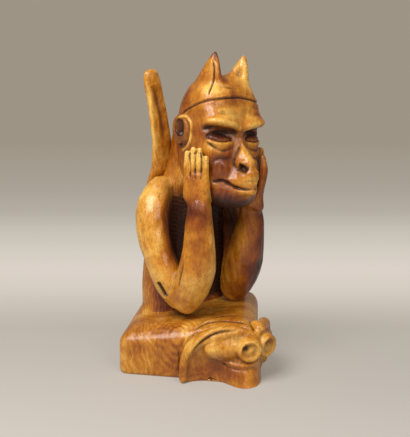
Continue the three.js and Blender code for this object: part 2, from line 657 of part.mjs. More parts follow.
function addPiece(name, solid, wood) {
  const { vertProperties, triVerts, numProp } = solid.getMesh();
  const geometry = new THREE.BufferGeometry();
  geometry.setAttribute("position", new THREE.BufferAttribute(new Float32Array(vertProperties), numProp));
  geometry.setIndex(new THREE.BufferAttribute(new Uint32Array(triVerts), 1));
  const mesh = new THREE.Mesh(geometry, woods[wood]);
  mesh.name = name;
  figure.add(mesh);
}

const rightEar = ear();
const rightBudSeat = bud(-1, GLUE_GAP);
const budSeats = [rightBudSeat, bud(1, GLUE_GAP)];

addPiece("ledge_block", ledge(), "sapwood");
addPiece("corner_leaf", seated("middle", cornerLeaf(), [ledgeSeat, ...budSeats]), "sapwood");
addPiece("right_bud", seated("middle", bud(-1), [ledgeSeat]), "sapwood");
addPiece("left_bud", seated("middle", bud(1), [ledgeSeat, rightBudSeat]), "sapwood");
addPiece("trunk", seated("middle", trunk(), [ledgeSeat]), "heartwood");
addPiece(
  "head",
  seated("middle", head(), [trunkSeat]).add(rightEar).add(mirrored(rightEar)),
  "heartwood",
);

for (const side of ["right", "left"]) {
  const bright = side === "right" ? "sapwood" : "heartwood"; // the right side faced the log's rim
  const dark = side === "right" ? "heartwood" : "sapwood";
  const fore = forearm(side).add(hand());
  const forearmSeat = seated(side, forearm(side, GLUE_GAP), []);
  const armSeat = seated(side, upperArm(side, GLUE_GAP), []);
  addPiece(`${side}_horn`, seated(side, horn(), [headSeat]), dark);
  addPiece(`${side}_upper_arm`, seated(side, upperArm(side), [trunkSeat, ledgeSeat, forearmSeat]), bright);
  addPiece(`${side}_forearm`, seated(side, fore, [trunkSeat, ledgeSeat, headSeat]), bright);
  addPiece(`${side}_wing`, seated(side, wing(), [trunkSeat, armSeat, ledgeSeat, headSeat]), bright);
}

// The origin lies on the floor under the middle of the whole carving.
const bounds = new THREE.Box3().setFromObject(figure);
const middle = bounds.getCenter(new THREE.Vector3());
figure.position.set(-middle.x, -middle.y, -bounds.min.z);

export default figure;
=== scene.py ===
import math

import bpy
import numpy as np
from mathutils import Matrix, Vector
from mathutils.bvhtree import BVHTree


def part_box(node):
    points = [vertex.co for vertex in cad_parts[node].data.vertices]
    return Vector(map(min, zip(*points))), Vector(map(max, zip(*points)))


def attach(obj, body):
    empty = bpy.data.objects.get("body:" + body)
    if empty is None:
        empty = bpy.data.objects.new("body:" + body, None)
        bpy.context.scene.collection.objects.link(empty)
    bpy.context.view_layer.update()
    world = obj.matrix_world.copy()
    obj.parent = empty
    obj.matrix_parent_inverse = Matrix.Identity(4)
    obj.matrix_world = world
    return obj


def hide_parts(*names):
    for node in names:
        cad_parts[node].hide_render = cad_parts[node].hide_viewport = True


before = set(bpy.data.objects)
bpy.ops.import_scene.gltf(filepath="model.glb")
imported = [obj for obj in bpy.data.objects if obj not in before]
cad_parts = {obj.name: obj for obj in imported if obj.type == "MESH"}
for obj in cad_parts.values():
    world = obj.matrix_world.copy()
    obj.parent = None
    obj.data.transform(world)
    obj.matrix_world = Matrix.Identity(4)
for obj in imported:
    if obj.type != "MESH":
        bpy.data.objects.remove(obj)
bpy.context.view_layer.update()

# The camera stands 0.9 m from the figure, 39 degrees round to its right and a little above its
# shoulders, and looks slightly down. Its lens was fitted to the photograph's perspective.
MM = 0.001
SENSOR = 36.0
IMAGE_HEIGHT = 437
FOCAL_PIXELS = 591.0
head_low, head_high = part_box("head")
TRUNK_BACK = 91.0       # mm from the figure's middle line to the back of its trunk
TURN, TILT = math.radians(39), math.radians(6.80)
MIDDLE = np.array([(head_low.x + head_high.x) / 2 / MM,
                   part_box("trunk")[1].y / MM - TRUNK_BACK, 0.0])
camera_data = bpy.data.cameras.new("camera")
camera_data.lens = SENSOR * FOCAL_PIXELS / IMAGE_HEIGHT
camera_data.sensor_width = SENSOR
camera = bpy.data.objects.new("camera", camera_data)
bpy.context.scene.collection.objects.link(camera)
camera.location = Vector((MIDDLE + np.array([-566.4, -699.4, 325.0])) * MM)
camera.rotation_euler = (math.radians(90) - TILT, 0, -TURN)
bpy.context.scene.camera = camera

# The ledge is the lower end of the log: a block with a rounded top, standing corner-wise under
# the figure, sawn flat below, shaped with gouge and rasp, sanded and lacquered.
ALL_NODES = list(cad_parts)
NEAR = 12.0             # mm; distances between forms are measured up to this


def points_of(piece):
    """The piece's points in millimetres from the figure's middle line."""
    flat = np.empty(len(piece.data.vertices) * 3, np.float32)
    piece.data.vertices.foreach_get("co", flat)
    return flat.reshape(-1, 3).astype(float) / MM - MIDDLE


def move_points(piece, points):
    piece.data.vertices.foreach_set("co", ((points + MIDDLE) * MM).astype(np.float32).ravel())
    piece.data.update()


def normals_of(piece):
    flat = np.empty(len(piece.data.vertices) * 3, np.float32)
    piece.data.vertices.foreach_get("normal", flat)
    return flat.reshape(-1, 3).astype(float)


def swell(piece, amounts):
    """Moves each point outwards by its own number of millimetres."""
    move_points(piece, points_of(piece) + normals_of(piece) * np.reshape(amounts, (-1, 1)))


def rise(values, start, width):
    """From 0 at the start to 1 at a width further on; with a negative width, further back."""
    return np.clip((values - start) / width, 0, 1)


def bell(values, middle, width):
    """1 at the middle, falling off to both sides over the width."""
    return np.exp(-((values - middle) / width) ** 2)


def around(spots, centre, radii):
    """For each of the spots, 1 at the centre, falling off over the radii."""
    return np.exp(-(((spots - np.array(centre)) / np.array(radii, float)) ** 2).sum(1))


def flipped(points, way):
    """The points as given, for the figure's right side; with a way of -1, those on its left."""
    return np.array(points) * [way, 1, 1]


def distance_to(piece, nodes):
    """How far each point lies from the nearest of the named CAD forms, up to NEAR."""
    corners, faces = [], []
    for name in nodes:
        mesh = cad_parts[name].data
        start = len(corners)
        corners += [v.co.copy() for v in mesh.vertices]
        faces += [[start + i for i in face.vertices] for face in mesh.polygons]
    tree = BVHTree.FromPolygons(corners, faces)
    found = [tree.find_nearest(v.co, NEAR * MM)[3] for v in piece.data.vertices]
    return np.array([NEAR if d is None else d / MM for d in found])


def carved(name, nodes, grain, soften, join=0.0):
    """A close, even mesh over the named CAD solids, with facets rubbed down except at the seams.

    With join, gaps of up to twice that many millimetres between the solids are closed. Also
    returns how free each point is to be rubbed down further, from 0 to 1."""
    bpy.ops.object.select_all(action="DESELECT")
    parts = []
    for node in nodes:
        part = bpy.data.objects.new(name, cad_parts[node].data.copy())
        bpy.context.scene.collection.objects.link(part)
        part.select_set(True)
        parts.append(part)
    piece = parts[0]
    bpy.context.view_layer.objects.active = piece
    if len(parts) > 1:
        bpy.ops.object.join()
    piece.name = name
    piece.data.materials.clear()
    bpy.ops.object.mode_set(mode="EDIT")
    bpy.ops.mesh.select_all(action="SELECT")
    bpy.ops.mesh.remove_doubles(threshold=1e-6)
    bpy.ops.object.mode_set(mode="OBJECT")
    if join:
        thick = piece.modifiers.new("thick", "DISPLACE")
        thick.mid_level, thick.strength = 0.0, join * MM
        bpy.ops.object.modifier_apply(modifier=thick.name)
    close = piece.modifiers.new("close mesh", "REMESH")
    close.mode, close.voxel_size, close.use_smooth_shade = "VOXEL", grain * MM, True
    bpy.ops.object.modifier_apply(modifier=close.name)
    if join:
        swell(piece, -0.8 * join)
    from_seam = distance_to(piece, [n for n in ALL_NODES if n not in nodes])
    free = rise(from_seam, 0.8, 3.0) * rise(points_of(piece)[:, 2], 0.5, 2.0)
    rub_down(piece, grain, soften, free)
    return piece, free


def rub_down(piece, grain, soften, weights):
    """Smooths the piece over about so many millimetres, as far as the weights allow."""
    group = piece.vertex_groups.new(name="free")
    for level in range(1, 11):
        chosen = np.nonzero((weights > (level - 1) / 10) & (weights <= level / 10))[0]
        if len(chosen):
            group.add(chosen.tolist(), level / 10, "REPLACE")
    sand = piece.modifiers.new("sand", "SMOOTH")
    sand.factor, sand.iterations = 0.5, max(1, round(4 * (soften / grain) ** 2))
    sand.vertex_group = group.name
    bpy.context.view_layer.objects.active = piece
    bpy.ops.object.modifier_apply(modifier=sand.name)
    piece.vertex_groups.clear()


def ease(piece, neighbours, reach):
    """Swells the piece towards its neighbours, so that the two meet in a hollow curve with no gap."""
    gap = distance_to(piece, neighbours)
    swell(piece, 0.3 * reach * np.clip(1 - gap / reach, 0, 1) ** 2)


def curve(points):
    """A smooth line through the points, with six steps between one and the next."""
    p = np.asarray(points, float)
    p = np.vstack([2 * p[0] - p[1], p, 2 * p[-1] - p[-2]])
    out = []
    for a, b, c, d in zip(p[:-3], p[1:-2], p[2:-1], p[3:]):
        for t in np.arange(6) / 6:
            out.append(0.5 * (2 * b + (c - a) * t + (2 * a - 5 * b + 4 * c - d) * t ** 2
                              + (3 * b - a - 3 * c + d) * t ** 3))
    return np.array(out + [p[-2]])


def along(points, path):
    """Each point's distance from a path, and how far along the path it is, from 0 to 1."""
    best = np.full(len(points), 1e9)
    place = np.zeros(len(points))
    lengths = np.linalg.norm(np.diff(path, axis=0), axis=1)
    starts = np.concatenate([[0], np.cumsum(lengths)])
    for a, b, size, start in zip(path[:-1], path[1:], lengths, starts):
        t = np.clip(((points - a) @ (b - a)) / max(size ** 2, 1e-9), 0, 1)
        gap = np.linalg.norm(points - (a + t[:, None] * (b - a)), axis=1)
        closer = gap < best
        best[closer], place[closer] = gap[closer], (start + t[closer] * size) / starts[-1]
    return best, place


def stroke(piece, points, reach, height, taper=0.2, mirror=False):
    """Raises a ridge along a line on the surface, or with a negative height cuts a groove.

    Returns how much each point was moved, from 0 to 1."""
    where = points_of(piece)
    total = np.zeros(len(where))
    for side in ((1, -1) if mirror else (1,)):
        path = flipped(curve(points), side)
        low, high = path.min(0) - 3 * reach, path.max(0) + 3 * reach
        close = np.all((where > low) & (where < high), axis=1)
        if not close.any():
            continue
        gap, place = along(where[close], path)
        ends = rise(np.minimum(place, 1 - place), 0, taper) ** 0.7 if taper else 1.0
        total[close] = np.maximum(total[close], np.exp(-(gap / reach) ** 2) * ends)
    swell(piece, total * height)
    return total


def linear(hex_colour):
    """An sRGB hex colour as the linear RGBA that the shader nodes take."""
    channels = [int(hex_colour[i:i + 2], 16) / 255 for i in (1, 3, 5)]
    return [c / 12.92 if c <= 0.04045 else ((c + 0.055) / 1.055) ** 2.4 for c in channels] + [1.0]


def node(tree, kind, settings=None, **inputs):
    """Adds a node with its settings; an input is a value or another node's output socket.

    Inputs go by name, or by number as i0, i1 and so on."""
    made = tree.nodes.new(kind)
    for key, value in (settings or {}).items():
        setattr(made, key, value)
    for key, value in inputs.items():
        numbered = key[0] == "i" and key[1:].isdigit()
        socket = made.inputs[int(key[1:])] if numbered else made.inputs[key]
        if isinstance(value, bpy.types.NodeSocket):
            tree.links.new(value, socket)
        else:
            socket.default_value = value
    return made


def reckon(tree, operation, *values, **settings):
    """A number worked out from values and other nodes' outputs."""
    return node(tree, "ShaderNodeMath", {"operation": operation, **settings},
                **{f"i{place}": value for place, value in enumerate(values)}).outputs[0]


def ramped(tree, amount, stops):
    """The colour that an amount stands for, between stops of a place and an sRGB colour."""
    ramp = node(tree, "ShaderNodeValToRGB", Fac=amount)
    elements = ramp.color_ramp.elements
    elements[0].position, elements[0].color = stops[0][0], linear(stops[0][1])
    elements[1].position, elements[1].color = stops[-1][0], linear(stops[-1][1])
    for position, colour in stops[1:-1]:
        elements.new(position).color = linear(colour)
    return ramp.outputs["Color"]


# Lacquered hardwood cut from one log: gold sapwood outside, red-brown heartwood inside.
# The lacquer gives soft white highlights; stain and painted shade darken the grooves.
wood = bpy.data.materials.new("lacquered_hardwood")
wood.use_nodes = True
tree = wood.node_tree
tree.nodes.clear()
RING_SPACING = 5.0      # mm; real rings of 3 to 5 mm, drawn at their widest so that they show
PORE_WIDTH = 0.9        # mm; real pores are 0.3 mm wide, drawn three times coarser to show
PORE_LENGTH = 4.5       # mm; the pores run up the log as short dashes
STREAK_WIDTH = 5.0      # mm
STREAK_LENGTH = 90.0    # mm
PATCH_WIDTH = 38.0      # mm, the width of a paler or darker patch
DRIFT_WIDTH = 70.0      # mm, over which the grain sways to one side and back
KNIFE_MARK = 11.0       # mm, the width of one cut of the gouge
place = node(tree, "ShaderNodeTexCoord").outputs["Object"]
axis = node(tree, "ShaderNodeMapping", Vector=place,
            Location=[-MIDDLE[0] * MM, -(MIDDLE[1] + 15) * MM, 0]).outputs[0]
drift = node(tree, "ShaderNodeTexNoise", Vector=axis, Scale=1 / (DRIFT_WIDTH * MM), Detail=2.0)
drift = node(tree, "ShaderNodeVectorMath", {"operation": "MULTIPLY_ADD"}, i0=drift.outputs["Color"],
             i1=(0.06, 0.06, 0.0), i2=axis).outputs[0]
rings = node(tree, "ShaderNodeTexWave", {"wave_type": "RINGS", "rings_direction": "Z"}, Vector=drift,
             Scale=math.pi / 10 / (RING_SPACING * MM), Distortion=2.0, Detail=2.0,
             **{"Detail Scale": 0.6}).outputs["Fac"]
long_way = node(tree, "ShaderNodeMapping", Vector=drift,
                Scale=(1 / (STREAK_WIDTH * MM), 1 / (STREAK_WIDTH * MM),
                       1 / (STREAK_LENGTH * MM))).outputs[0]
streaks = node(tree, "ShaderNodeTexNoise", Vector=long_way, Scale=1.0, Detail=3.0).outputs["Fac"]
pore_way = node(tree, "ShaderNodeMapping", Vector=axis,
                Scale=(1 / (PORE_WIDTH * MM), 1 / (PORE_WIDTH * MM),
                       1 / (PORE_LENGTH * MM))).outputs[0]
pore_field = node(tree, "ShaderNodeTexNoise", Vector=pore_way, Scale=1.0, Detail=1.0).outputs["Fac"]
pores = node(tree, "ShaderNodeMapRange", Value=pore_field,
             **{"From Min": 0.59, "From Max": 0.67}).outputs[0]
patches = node(tree, "ShaderNodeTexNoise", Vector=axis, Scale=1 / (PATCH_WIDTH * MM), Detail=5.0,
               Roughness=0.6).outputs["Fac"]
tone = node(tree, "ShaderNodeAttribute", {"attribute_name": "tone"}).outputs["Fac"]
recess = node(tree, "ShaderNodeAttribute", {"attribute_name": "recess"}).outputs["Fac"]
ringed = node(tree, "ShaderNodeAttribute", {"attribute_name": "rings"}).outputs["Fac"]
ring_part = reckon(tree, "MULTIPLY", rings, ringed)
mixed = reckon(tree, "MULTIPLY_ADD", streaks, 0.34, tone)
mixed = reckon(tree, "MULTIPLY_ADD", ring_part, 0.20, mixed)
mixed = reckon(tree, "MULTIPLY_ADD", patches, 1.0, mixed)
mixed = reckon(tree, "SUBTRACT", mixed, 0.72)
coloured = ramped(tree, mixed, [(0.0, "#2E0F04"), (0.22, "#602606"), (0.45, "#904B0F"),
                                (0.7, "#BE7A1D"), (1.0, "#E8B555")])
pored = reckon(tree, "MULTIPLY", pores, 0.6)
with_pores = node(tree, "ShaderNodeMix", {"data_type": "RGBA"}, Factor=pored, i6=coloured,
                  i7=linear("#5E2C12")).outputs[2]
# Painted shade, with some stain in the grooves: the colour goes towards near-black as the recess value
# rises.
stain_and_shade = node(tree, "ShaderNodeMix", {"data_type": "RGBA"}, Factor=recess, i6=with_pores,
               i7=linear("#260C02")).outputs[2]
knife_way = node(tree, "ShaderNodeMapping", Vector=axis,
                 Scale=(1 / (KNIFE_MARK * MM), 1 / (KNIFE_MARK * MM),
                        0.5 / (KNIFE_MARK * MM))).outputs[0]
knife = node(tree, "ShaderNodeTexVoronoi", {"feature": "SMOOTH_F1"}, Vector=knife_way, Scale=1.0,
             Smoothness=0.6).outputs["Distance"]
marks = node(tree, "ShaderNodeBump", Height=knife, Strength=0.9, Distance=2.4 * MM).outputs[0]
grain_bump = node(tree, "ShaderNodeBump", Height=streaks, Strength=0.3, Distance=0.6 * MM,
                  Normal=marks).outputs[0]
pore_bump = node(tree, "ShaderNodeBump", {"invert": True}, Height=pores, Strength=0.35, Distance=0.3 * MM,
                 Normal=grain_bump).outputs[0]
gloss = node(tree, "ShaderNodeMapRange", Value=patches, **{"To Min": 0.20, "To Max": 0.42}).outputs[0]
dulled = reckon(tree, "MULTIPLY_ADD", recess, 0.8, gloss, use_clamp=True)
shader = node(tree, "ShaderNodeBsdfPrincipled", **{
    "Base Color": stain_and_shade, "Roughness": dulled, "Normal": pore_bump,
    "IOR": 1.43, "Coat Weight": 0.3, "Coat Roughness": 0.10})
node(tree, "ShaderNodeOutputMaterial", Surface=shader.outputs[0])


def hollows(piece, rounds):
    """How far each point lies below its surroundings, in millimetres: more than 0 in a groove."""
    where, out = points_of(piece), normals_of(piece)
    edges = np.empty(len(piece.data.edges) * 2, np.int32)
    piece.data.edges.foreach_get("vertices", edges)
    a, b = edges.reshape(-1, 2).T
    count = np.bincount(a, minlength=len(where)) + np.bincount(b, minlength=len(where))
    smooth = where.copy()
    for _ in range(rounds):
        for k in range(3):
            column = smooth[:, k]
            total = (np.bincount(a, column[b], len(where)) + np.bincount(b, column[a], len(where)))
            smooth[:, k] = 0.5 * column + 0.5 * total / np.maximum(count, 1)
    return ((smooth - where) * out).sum(1)


def attribute(piece, name, values):
    """Stores one number per point with the piece, for its material to read."""
    layer = piece.data.attributes.new(name, "FLOAT", "POINT")
    layer.data.foreach_set("value", np.clip(values, 0, 1).astype(np.float32))


def painted(spots, base, patches):
    """A value at each spot, used for the wood's tone and for painted light and shade: a base, drawn
    towards other values round the given places.
    """
    tones = np.full(len(spots), float(base))
    for centre, radii, value in patches:
        tones += (value - tones) * around(spots, centre, radii)
    return tones


FINE_GROOVE = 0.4       # mm; a narrow groove this deep is darkened halfway, by stain and painted shade
BROAD_HOLLOW = 1.0      # mm; a broad hollow this deep is darkened halfway too
CONTACT_SHADE_REACH = 2.2        # mm; how far painted shade reaches from where two forms meet
WORN_EDGE = 1.5         # mm; an edge standing out this far is rubbed palest


def dress(piece, nodes, tones, grain, merged=(), rings=0.5, recess=0.0):
    """Gives the piece its wood, dark in grooves and pale on edges, in place of the CAD nodes.

    No point stays below the floor. Painted shade darkens it where other nodes meet it; merged nodes leave
    none."""
    spots = points_of(piece)
    spots[:, 2] = np.maximum(spots[:, 2], 0.0)
    move_points(piece, spots)
    small = hollows(piece, max(2, round(4 / grain)))
    wide = hollows(piece, max(6, round(24 / grain ** 2)))
    others = [n for n in ALL_NODES if n not in nodes and n not in merged]
    # Painted shade near where the piece meets another form.
    contact_shade = np.exp(-distance_to(piece, others) / CONTACT_SHADE_REACH)
    deep = rise(small, 0, FINE_GROOVE) * 0.50 + rise(wide, 0, BROAD_HOLLOW) * 0.50 + contact_shade * 0.55 + recess
    worn = rise(-wide, 0, WORN_EDGE) * 0.10
    attribute(piece, "recess", np.clip(deep, 0, 0.92))
    attribute(piece, "tone", tones + worn)
    attribute(piece, "rings", np.full(len(tones), rings))
    piece.data.materials.append(wood)
    bpy.ops.object.select_all(action="DESELECT")
    piece.select_set(True)
    bpy.context.view_layer.objects.active = piece
    bpy.ops.object.shade_smooth()
    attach(piece, "root")
    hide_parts(*nodes)


# A crack runs down the ledge's front edge. Two creases with a ridge between them follow the
# leaf's upper edge.
LEDGE_GRAIN = 1.6       # mm between the points of the mesh, here and below
ledge, _ = carved("ledge", ["ledge_block"], LEDGE_GRAIN, 4.0)
spots = points_of(ledge)
crack = [(-87.8, -47.8, 42.9), (-86.9, -48.9, 29.8), (-87, -48.8, 15.1), (-87, -48.8, 3.3)]
low_crease = [(-68.4, -59.1, 68.6), (-48, -65.6, 77.6), (-33.1, -79.3, 80.6), (-21.6, -100.5, 82),
              (-13.9, -116.9, 78.6)]
high_crease = [(-62.3, -58.9, 72.6), (-38.9, -58.1, 79.8), (-16.3, -66.4, 82.7), (0.2, -82, 84),
               (8, -96, 81)]
between = [(-65, -59, 70.5), (-44, -62, 78.6), (-25, -73, 81.5), (-11, -91, 83), (-4, -106, 80)]
stroke(ledge, crack, 1.2, -1.6, 0.25)
# Painted shade darkens the two creases.
ledge_shade = 0.5 * stroke(ledge, low_crease, 1.8, -2.0, 0.15)
ledge_shade += 0.4 * stroke(ledge, high_crease, 2.2, -2.0, 0.3)
stroke(ledge, between, 2.5, 1.2, 0.3)
ease(ledge, ["trunk"], 14.0)
# Under the leaf the ledge is drawn back a little, so that it shows through the thin leaf in no
# more than one small place at the leaf's foot.
under_leaf = rise(distance_to(ledge, ["corner_leaf"]), 3.0, -1.5)
swell(ledge, -1.2 * under_leaf)
# Growth rings bend round a knot in the ledge's side. They are drawn coarser so that they show.
KNOT_AT, KNOT_RING = np.array((-84.0, -42.0, 60.0)), 6.5
ARM_NODES = ["right_upper_arm", "right_forearm", "left_upper_arm", "left_forearm"]
# Painted shadow where the arms rest on the ledge, and in two patches on its top under the elbows.
ledge_shade += 0.6 * np.exp(-distance_to(ledge, ARM_NODES) / 6)
ledge_shade += painted(points_of(ledge), 0.0, [((-50, -2, 77), (16, 24, 7), 0.45),
                                          ((50, -2, 77), (16, 24, 7), 0.45)])
tones = painted(spots, 0.70, [
    ((-100, -20, 60), (40, 40, 22), 0.58), ((-30, -70, 84), (60, 50, 20), 0.68),
    ((0, -90, 84), (30, 30, 20), 0.72), ((-87, -45, 20), (12, 14, 30), 0.52)])
around_knot = np.sqrt((((spots - KNOT_AT) / [1, 1, 1.5]) ** 2).sum(1))
tones += 0.08 * np.sin(2 * np.pi * around_knot / KNOT_RING) * bell(around_knot, 0, 34)
dress(ledge, ["ledge_block"], tones, LEDGE_GRAIN, merged=["corner_leaf", "trunk"],
      rings=0.5, recess=ledge_shade)

# The leaf over the ledge's front corner: a hanging apron under a rolled edge, with two curled buds
# below its tip, turned out like short barrels with a dished end. It is carved in one with the
# block and undercut with a small gouge.
def dab(piece, centre, radii, height, mirror=False):
    """Swells the surface round a place, or with a negative height hollows it."""
    where = points_of(piece)
    total = np.zeros(len(where))
    for side in ((1, -1) if mirror else (1,)):
        total = np.maximum(total, around(where, flipped(centre, side), radii))
    swell(piece, total * height)


LEAF_NODES = ["corner_leaf", "right_bud", "left_bud"]
LEAF_GRAIN = 1.0
leaf, free = carved("corner_leaf_carving", LEAF_NODES, LEAF_GRAIN, 1.6, join=0.7)
spots = points_of(leaf)
apron = rise(spots[:, 1], -118, 14)
rub_down(leaf, LEAF_GRAIN, 2.5, free * apron)
swell(leaf, 0.7 * apron * free)
dab(leaf, (-76, -96, 52), (11, 12, 14), 5.0)
dab(leaf, (-60, -108, 68), (16, 12, 6), 3.0)
spots = points_of(leaf)
blend = around(spots, (-77, -97, 50), (15, 15, 17)) + around(spots, (-64, -103, 66), (15, 13, 11))
rub_down(leaf, LEAF_GRAIN, 8.0, free * np.clip(1.5 * blend, 0, 1))
dab(leaf, (-66, -103, 62), (13, 12, 12), 2.5)
# Two places where the leaf is thin are built up, and the ends of both buds are dished.
dab(leaf, (-57.9, -84.9, 3), (11, 11, 9), 2.4)
dab(leaf, (-10, -125.7, 30), (11, 11, 9), 1.3)
dab(leaf, (-35.4, -131.5, 54), (5.5, 5.5, 5.5), -3.0)
dab(leaf, (4, -136, 53.6), (5.5, 5.5, 5.5), -3.0)
# The rolled rim has a groove under it, and two outer creases, darkened with painted shade, follow it over
# the apron.
rim = np.array([(-93.3, -73.7, 35.5), (-89.4, -80, 52), (-80.7, -88.8, 68), (-67.4, -98.4, 77.5),
                (-48.7, -105.9, 82)])
lip = np.array([(-64.9, -104, 41.9), (-49.7, -105.2, 33), (-42.7, -118.1, 29.4), (-34.7, -125.7, 28.3),
                (-24.3, -128.6, 28.1), (-7, -124.4, 28.5)])
stroke(leaf, rim + [2, 3, -9], 1.8, -2.0, 0.2)
stroke(leaf, rim + [-1, -1, -2], 4.5, 3.4, 0.2)
fold_shade = 0.35 * stroke(leaf, rim + [6, 3, 3], 1.6, -1.8, 0.25)
spots = points_of(leaf)
outer_fold = np.array([(-88.9, -77, 42.5), (-81.2, -89.4, 62.6), (-68.5, -99.8, 73.9),
                       (-52.8, -110.6, 77.6), (-38.6, -119.2, 76.9)])
fold = [spots[np.argmin(((spots - near) ** 2).sum(1))] for near in outer_fold]
fold_shade += 0.3 * stroke(leaf, fold, 2.4, -2.6, 0.2)
stroke(leaf, lip, 2.6, 2.2, 0.2)
stroke(leaf, lip + [0, 0, -6], 2.2, -1.6, 0.2)
# Among these tones, the patch at the foot of the apron is painted shade.
tones = painted(points_of(leaf), 0.68, [
    ((-85, -85, 60), (22, 22, 22), 0.84), ((-45, -104, 84), (30, 20, 14), 0.80),
    ((-50, -110, 56), (36, 40, 20), 0.88), ((-8, -142, 50), (30, 22, 24), 0.90),
    ((-55, -100, 14), (45, 40, 14), 0.42), ((-20, -135, 18), (20, 20, 20), 0.66)])
# Painted shade inside the dished ends of both buds.
dished = painted(points_of(leaf), 0.0, [((-35.4, -131.5, 54), (6.5, 6.5, 6.5), 0.3),
                                        ((4, -136, 53.6), (6.5, 6.5, 6.5), 0.3)])
dress(leaf, LEAF_NODES, tones, LEAF_GRAIN, merged=["ledge_block"], rings=0.35,
      recess=dished + fold_shade)

# The trunk: haunches, chest, back and neck. The chest, which no rasp could reach between the
# arms, keeps its rows of gouge cuts and is darkened, partly by stain and partly by painted shade.
TRUNK_GRAIN = 1.4
CUT_HEIGHT, CUT_WIDTH, CUT_DEPTH = 6.5, 10.0, 1.0
LANES = 80              # upright rows of cuts, each at a height of its own
trunk, _ = carved("trunk_carving", ["trunk"], TRUNK_GRAIN, 3.5)
spots = points_of(trunk)
draw = np.random.default_rng(7)
lane = np.floor(spots[:, 0] / CUT_WIDTH + LANES // 2).astype(int)
shift = draw.uniform(0, 1, LANES)[lane]
ease(trunk, ["ledge_block"], 14.0)
ease(trunk, ["head"], 12.0)
spots = points_of(trunk)
cut = np.abs(np.sin(np.pi * (spots[:, 2] / CUT_HEIGHT + shift + 0.03 * spots[:, 0])))
across = np.abs(np.sin(np.pi * spots[:, 0] / CUT_WIDTH))
chest = rise(spots[:, 1], 34, -10) * rise(spots[:, 2], 88, 8) * rise(spots[:, 2], 262, -12)
chest *= rise(np.abs(spots[:, 0]), 60, -8)
swell(trunk, -CUT_DEPTH * chest * cut ** 3 * across ** 0.5)
# Among these tones, painted shade darkens the chest between the arms, along with its stain, and both
# haunches behind the elbows.
tones = painted(spots, 0.60, [
    ((0, 5, 170), (66, 34, 100), -0.1), ((-30, 0, 300), (60, 60, 55), 0.60),
    ((-62, 60, 70), (30, 50, 70), 0.74), ((-60, 22, 100), (16, 18, 36), 0.16),
    ((60, 22, 100), (16, 18, 36), 0.16)])
# Painted shade on the trunk close beside the arms.
shade_beside_arms = np.exp(-distance_to(trunk, ARM_NODES) / 5) * rise(spots[:, 2], 170, -30)
dress(trunk, ["trunk"], tones - 0.25 * shade_beside_arms, TRUNK_GRAIN,
      recess=0.8 * chest + 0.7 * shade_beside_arms,
      merged=["ledge_block", "right_upper_arm", "left_upper_arm", "right_wing", "left_wing", "head"])

# The head, carved as one with its cap of hair, ears, brow, muzzle and nose, and with two horns
# that rise from the cap like the points of a crown. The nearer horn is split and its tip chipped.
def facets(piece, chosen, count, radii, depth, seed):
    """Shallow flats left by the gouge, at random places among the chosen points."""
    places = np.nonzero(chosen)[0]
    for pick in np.random.default_rng(seed).choice(places, count, replace=False):
        dab(piece, points_of(piece)[pick], radii, -depth)


HEAD_NODES = ["head", "right_horn", "left_horn"]
HEAD_GRAIN = 1.15
head, free = carved("head_carving", HEAD_NODES, HEAD_GRAIN, 1.8, join=0.5)
spots = points_of(head)
forehead = rise(spots[:, 2], 350, 12) * rise(spots[:, 1], -10, -20) * rise(spots[:, 2], 400, -8)
rub_down(head, HEAD_GRAIN, 4.5, free * forehead)
spots = points_of(head)
# The horns' feet are drawn in towards the middle line, and blend into the cap.
foot = rise(spots[:, 2], 398, 8) * rise(spots[:, 2], 436, -14)
spots[:, 0] -= np.sign(spots[:, 0]) * 3.0 * foot * bell(np.abs(spots[:, 0]), 14, 8)
move_points(head, spots)
rub_down(head, HEAD_GRAIN, 5.0, foot)
upper_lid = [(-49.4, -62.1, 340.7), (-45.2, -66.7, 344.4), (-41.2, -68.4, 345.5), (-29.4, -69.4, 346.3),
             (-20.5, -73.5, 342.3), (-13, -77, 336.5)]
lower_lid = [(-49.4, -62.1, 340.7), (-45.6, -67.2, 337.3), (-39.2, -72.4, 334.6), (-29.2, -75.6, 333.4),
             (-19, -76, 334.6), (-13, -77, 336.5)]
brow = [(-52.9, -58, 360), (-50.2, -68.5, 361.5), (-42.9, -80.9, 361), (-27.4, -84.5, 358.5),
        (-12.3, -84.5, 353.5), (-1, -84, 348)]
under_brow = [(-52.8, -54.3, 351.5), (-49.6, -65.6, 351.5), (-41.8, -75, 350.5), (-27, -78.5, 348.5),
              (-14.1, -79.5, 345.5), (-6, -81.5, 343)]
under_eye = [(-50.9, -58.5, 341.4), (-47.7, -65.4, 332.2), (-41.7, -73.3, 325.4), (-30.8, -79.6, 321.3),
             (-15, -78.3, 325.4), (-9.5, -78.5, 328.2)]
cheek = [(-14.6, -82.1, 312.6), (-27.1, -79.6, 309.9), (-38, -75.4, 310), (-45.2, -66.8, 304.4)]
nose_side = [(-3, -85, 332), (-11.8, -83.1, 315.3), (-15.2, -83, 302.9), (-13.9, -89.8, 294.7)]
nostril = [(-13.6, -89.5, 300.0), (-11.8, -96.5, 296.5), (-8.0, -103, 293)]
mouth = [(-42, -66.5, 279), (-36.5, -72, 279.5), (-31.5, -77.3, 280), (-25.7, -82.5, 276.8),
         (-19.5, -88, 272), (-13.6, -93.9, 269.2), (-8.8, -100.9, 267.8), (-2.1, -105.9, 268),
         (0, -107, 268)]
spots = points_of(head)
below_eye = sum(around(spots, (x, -76, 322), (18, 16, 14)) for x in (-34, 34))
muzzle = around(spots, (0, -104, 277), (26, 18, 13))
rub_down(head, HEAD_GRAIN, 4.0, free * np.clip(1.4 * (below_eye + muzzle), 0, 1))
dab(head, (0, -104, 277), (24, 16, 12), 1.5)
